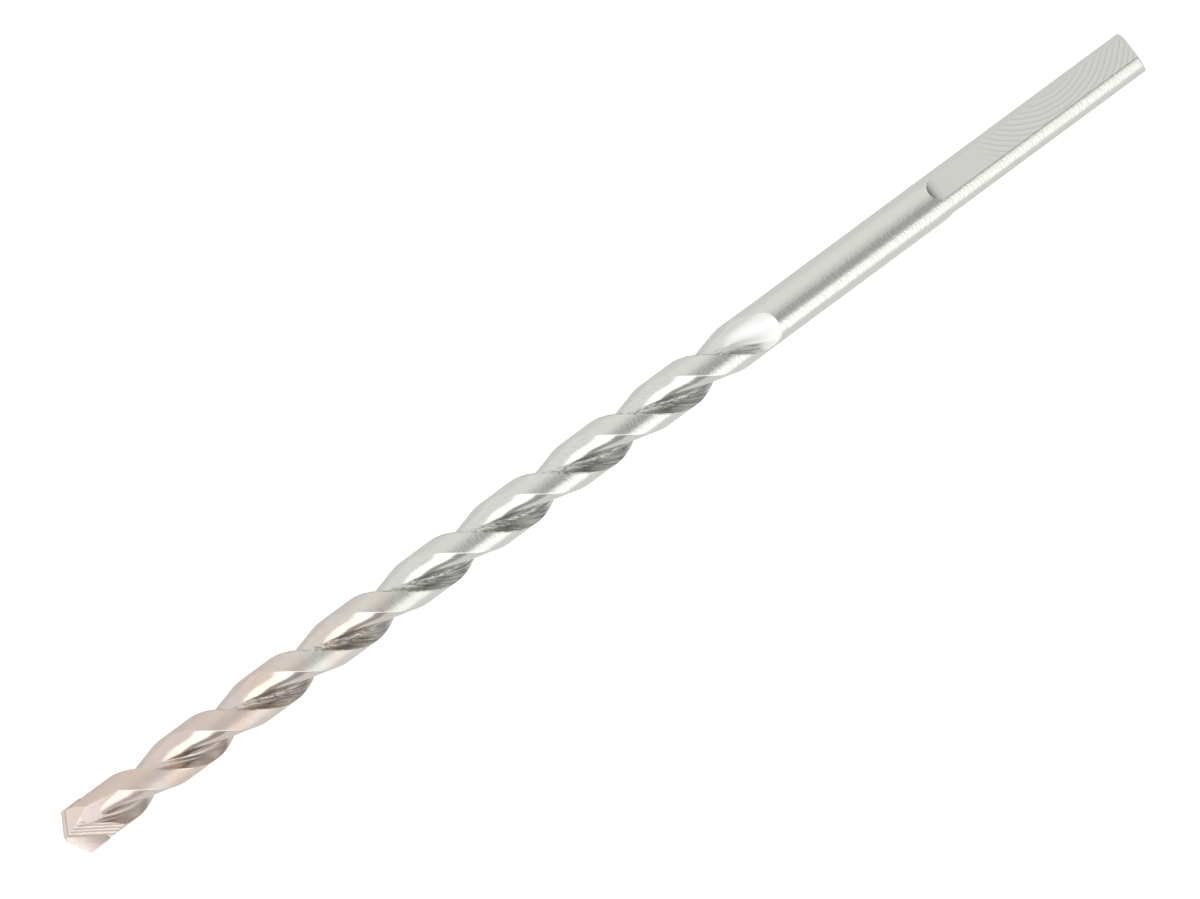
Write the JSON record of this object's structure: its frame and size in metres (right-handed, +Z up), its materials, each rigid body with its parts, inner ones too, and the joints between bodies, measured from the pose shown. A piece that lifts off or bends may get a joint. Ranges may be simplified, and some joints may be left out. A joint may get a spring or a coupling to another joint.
{
  "type": "multi-material drill bit",
  "caption": "Slim drill bit: ground carbide cutting plate brazed across the tip of a steel body with helical flutes and a round shank with milled flats.",
  "frame": {"origin": "centre of the shank's end face", "axes": "+X out of the shank along the bit's axis, so the cutting tip is at -X; +Z up, square to the carbide plate; the plate lies in the XY plane"},
  "size_m": [0.15, 0.0058, 0.0056],
  "materials": {
    "bright_steel": "ground",
    "ground_carbide": "fine ground",
    "braze_alloy": "dull"
  },
  "bodies": {
    "root": {"steel_body": "bright_steel", "carbide_tip": "ground_carbide", "braze_joint": "braze_alloy"}
  },
  "joints": []
}
